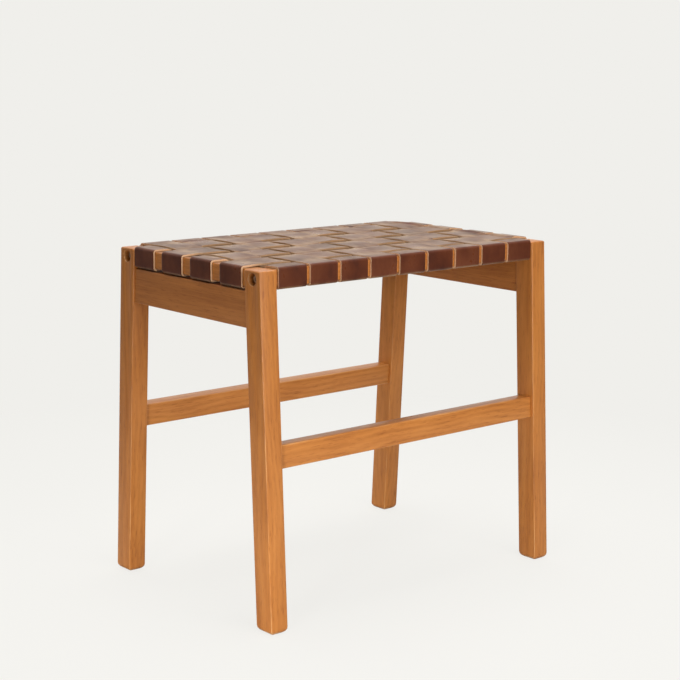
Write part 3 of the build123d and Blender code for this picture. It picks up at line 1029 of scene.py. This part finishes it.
def add_low_lamp(place, aim, power):
    """A lamp near the floor whose light fades towards the seat."""
    lamp = bpy.data.lights.new("Low lamp", "SPOT")
    lamp.spot_size, lamp.spot_blend = math.radians(28), 1.0
    lamp.shadow_soft_size = 0.3
    lamp.energy = power
    hang_lamp(lamp, place, aim)


def add_camera():
    """The camera, at the height and angle that the stool is seen from."""
    view = bpy.data.cameras.new("Stool camera")
    view.lens = 85.905
    view.sensor_width = 36
    view.shift_x, view.shift_y = 0.03357, 0.01286
    camera = bpy.data.objects.new("Stool camera", view)
    bpy.context.scene.collection.objects.link(camera)
    turn = Matrix.Rotation(math.radians(-39.757), 4, "Z")
    tilt = Matrix.Rotation(math.radians(90 - 10.848), 4, "X")
    roll = Matrix.Rotation(math.radians(0.276), 4, "Z")
    camera.matrix_world = Matrix.Translation((-1.42485, -1.67213, 0.72797)) @ turn @ tilt @ roll
    bpy.context.scene.camera = camera


# Operators

class STOOL_OT_finishes(bpy.types.Operator):
    """Make the wood, leather and metal finishes"""

    bl_idname = "stool.finishes"
    bl_label = "Finishes"

    def execute(self, context):
        finishes.update(make_finishes())
        return {"FINISHED"}


class STOOL_OT_legs(bpy.types.Operator):
    """Model one leg and mirror it to the other three corners"""

    bl_idname = "stool.legs"
    bl_label = "Legs"

    def execute(self, context):
        leg = model_leg(context.scene.stool_wood, context.scene.stool_fasteners)
        for corner, (sign_x, sign_y) in CORNERS.items():
            piece = leg
            if corner != "back_right":
                piece = mirrored_copy(leg, corner + "_leg", sign_x, sign_y)
            finish_piece(piece, "frame_wood", [finishes["upright wood"]], "leg_" + corner)
        return {"FINISHED"}


class STOOL_OT_stretchers(bpy.types.Operator):
    """Model the two stretchers"""

    bl_idname = "stool.stretchers"
    bl_label = "Stretchers"

    def execute(self, context):
        back = model_stretcher(context.scene.stool_wood)
        front = mirrored_copy(back, "front_stretcher", 1, -1)
        finish_piece(back, "frame_wood", [finishes["long wood"]], "stretcher_back")
        finish_piece(front, "frame_wood", [finishes["long wood"]], "stretcher_front")
        return {"FINISHED"}


class STOOL_OT_rails(bpy.types.Operator):
    """Model the four seat rails"""

    bl_idname = "stool.rails"
    bl_label = "Seat rails"

    def execute(self, context):
        sizes = context.scene.stool_wood
        back = model_side_rail(sizes)
        paint_rail_top_shade(back)
        front = mirrored_copy(back, "front_rail", 1, -1)
        finish_piece(back, "frame_wood", [finishes["long wood"]], "side_rail_back")
        finish_piece(front, "frame_wood", [finishes["long wood"]], "side_rail_front")
        right = model_end_board("end_rail_right", "right_rail", sizes)
        paint_rail_top_shade(right)
        left = mirrored_copy(right, "left_rail", -1, 1)
        finish_piece(right, "frame_wood", [finishes["cross wood"]], "end_rail_right")
        finish_piece(left, "frame_wood", [finishes["cross wood"]], "end_rail_left")
        return {"FINISHED"}


class STOOL_OT_aprons(bpy.types.Operator):
    """Model the two aprons"""

    bl_idname = "stool.aprons"
    bl_label = "Aprons"

    def execute(self, context):
        right = model_end_board("apron_right", "right_apron", context.scene.stool_wood)
        left = mirrored_copy(right, "left_apron", -1, 1)
        finish_piece(right, "frame_wood", [finishes["shaded apron wood"]], "apron_right")
        finish_piece(left, "frame_wood", [finishes["shaded apron wood"]], "apron_left")
        return {"FINISHED"}


class STOOL_OT_long_straps(bpy.types.Operator):
    """Model the straps that run along the seat"""

    bl_idname = "stool.long_straps"
    bl_label = "Long straps"

    def execute(self, context):
        straps = context.scene.stool_straps
        low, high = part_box("end_rail_right")
        side_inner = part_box("side_rail_back")[0].y
        for number, node in enumerate(LONG_STRAPS):
            crossings = [
                (middle_of(other, 0), (number + index + 1) % 2) for index, other in enumerate(CROSS_STRAPS)
            ]
            y = middle_of(node, 1)
            rows = strap_rows(high.x, low.x, low.z, high.z, crossings, straps)
            name = "seat_long_strap_%d" % (number + 1)
            strap = model_strap(
                name, rows, straps,
                lambda side: dip_at(y + side, side_inner, straps),
                lambda run, side, up: (run, y + side - drift_at(run, straps), up),
                number,
            )
            finish_strap(strap, node)
        return {"FINISHED"}


class STOOL_OT_cross_straps(bpy.types.Operator):
    """Model the straps that run from front to back"""

    bl_idname = "stool.cross_straps"
    bl_label = "Cross straps"

    def execute(self, context):
        straps = context.scene.stool_straps
        low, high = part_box("side_rail_back")
        end_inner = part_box("end_rail_right")[0].x
        for number, node in enumerate(CROSS_STRAPS):
            x = middle_of(node, 0)
            crossings = [
                (middle_of(other, 1) - drift_at(x, straps), (number + index) % 2)
                for index, other in enumerate(LONG_STRAPS)
            ]
            rows = strap_rows(high.y, low.y, low.z, high.z, crossings, straps)
            name = "seat_cross_strap_%d" % (number + 1)
            strap = model_strap(
                name, rows, straps,
                lambda side: dip_at(x - side, end_inner, straps),
                lambda run, side, up: (x - side, run, up),
                number + len(LONG_STRAPS),
            )
            finish_strap(strap, node)
        return {"FINISHED"}


def finish_strap(strap, node):
    """Attach a strap to the root body and hide the solid it stands in for. Its materials are already on its faces."""
    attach(strap, "root")
    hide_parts(node)


class STOOL_OT_bolts(bpy.types.Operator):
    """Model the bolts and their washers, and finish the barrel nuts"""

    bl_idname = "stool.bolts"
    bl_label = "Bolts"

    def execute(self, context):
        bolts = context.scene.stool_fasteners
        bolt, washer = model_bolt(bolts), model_washer(bolts)
        for corner, (sign_x, sign_y) in CORNERS.items():
            for first, start, node in ((bolt, "bolt_", "rail_bolts"), (washer, "washer_", "bolt_washers")):
                piece = first
                if corner != "back_right":
                    piece = mirrored_copy(first, start + corner, sign_x, sign_y)
                finish_piece(piece, "bolt_steel", [finishes["steel"]], node)
        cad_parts["barrel_nuts"].data.materials.clear()
        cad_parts["barrel_nuts"].data.materials.append(finishes["steel"])
        return {"FINISHED"}


class STOOL_OT_staples(bpy.types.Operator):
    """Model the staples that hold the straps' tails to the rails"""

    bl_idname = "stool.staples"
    bl_label = "Staples"

    def execute(self, context):
        first = model_staple(context.scene.stool_fasteners)
        copies = []
        for place, facing in tail_places(context.scene.stool_straps):
            select_only(first)
            bpy.ops.object.duplicate(linked=False)
            copy = bpy.context.object
            across = Vector((0, 0, 1)).cross(facing)
            turn = Matrix((across, facing.cross(across), facing)).transposed()
            copy.matrix_world = Matrix.Translation(place) @ turn.to_4x4()
            copies.append(settle(copy, "staple"))
        bpy.data.objects.remove(first)
        bpy.ops.object.select_all(action="DESELECT")
        for copy in copies:
            copy.select_set(True)
        bpy.context.view_layer.objects.active = copies[0]
        bpy.ops.object.join()
        copies[0].name = "strap_staples"
        copies[0].data.materials.append(finishes["steel"])
        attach(copies[0], "root")
        return {"FINISHED"}


class STOOL_OT_dowels(bpy.types.Operator):
    """Finish the hidden dowels"""

    bl_idname = "stool.dowels"
    bl_label = "Dowels"

    def execute(self, context):
        for node in ("end_rail_dowels", "apron_dowels", "locating_dowels"):
            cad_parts[node].data.materials.clear()
            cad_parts[node].data.materials.append(finishes["dowel"])
        return {"FINISHED"}


class STOOL_OT_stage(bpy.types.Operator):
    """Set up the floor, the room, the lamps and the camera"""

    bl_idname = "stool.stage"
    bl_label = "Stage"

    def execute(self, context):
        colours, studio = context.scene.stool_colours, context.scene.stool_studio
        make_floor(colours)
        make_room(colours, studio)
        middle = (0, 0, 0.25)
        add_lamp("Key lamp", (-0.12, -1.6, 0.95), middle, 1.4, studio.key_power)
        add_low_lamp((-2.25, -1.2, 0.3), (-0.1, 0.0, -0.12), studio.low_power)
        add_lamp("Top lamp", (0.2, 0.4, 2.6), middle, 2.2, studio.top_power)
        add_camera()
        context.scene.view_settings.view_transform = "Standard"
        return {"FINISHED"}


STEPS = (
    STOOL_OT_finishes,
    STOOL_OT_legs,
    STOOL_OT_stretchers,
    STOOL_OT_rails,
    STOOL_OT_aprons,
    STOOL_OT_dowels,
    STOOL_OT_bolts,
    STOOL_OT_long_straps,
    STOOL_OT_cross_straps,
    STOOL_OT_staples,
    STOOL_OT_stage,
)

GROUPS = {
    "stool_wood": StoolWoodSizes,
    "stool_straps": StoolStrapSizes,
    "stool_fasteners": StoolFastenerSizes,
    "stool_colours": StoolColours,
    "stool_studio": StoolStudio,
}


class STOOL_PT_panel(bpy.types.Panel):
    """Lists the steps and sizes of the stool"""

    bl_idname = "STOOL_PT_panel"
    bl_label = "Woven Strap Stool"
    bl_space_type = "VIEW_3D"
    bl_region_type = "UI"
    bl_category = "Stool"

    def draw(self, context):
        for step in STEPS:
            self.layout.operator(step.bl_idname, text=step.bl_label)
        for name, group in GROUPS.items():
            box = self.layout.box()
            for size in group.__annotations__:
                box.prop(getattr(context.scene, name), size)


def register():
    """Add the property groups, the operators and the panel."""
    for name, group in GROUPS.items():
        bpy.utils.register_class(group)
        setattr(bpy.types.Scene, name, PointerProperty(type=group))
    for part in (*STEPS, STOOL_PT_panel):
        bpy.utils.register_class(part)


def unregister():
    """Take them away again."""
    for part in reversed((*STEPS, STOOL_PT_panel)):
        bpy.utils.unregister_class(part)
    for name, group in GROUPS.items():
        delattr(bpy.types.Scene, name)
        bpy.utils.unregister_class(group)


def main():
    """Model the whole stool."""
    register()
    for step in STEPS:
        category, action = step.bl_idname.split(".")
        getattr(getattr(bpy.ops, category), action)()


if __name__ == "__main__":
    main()
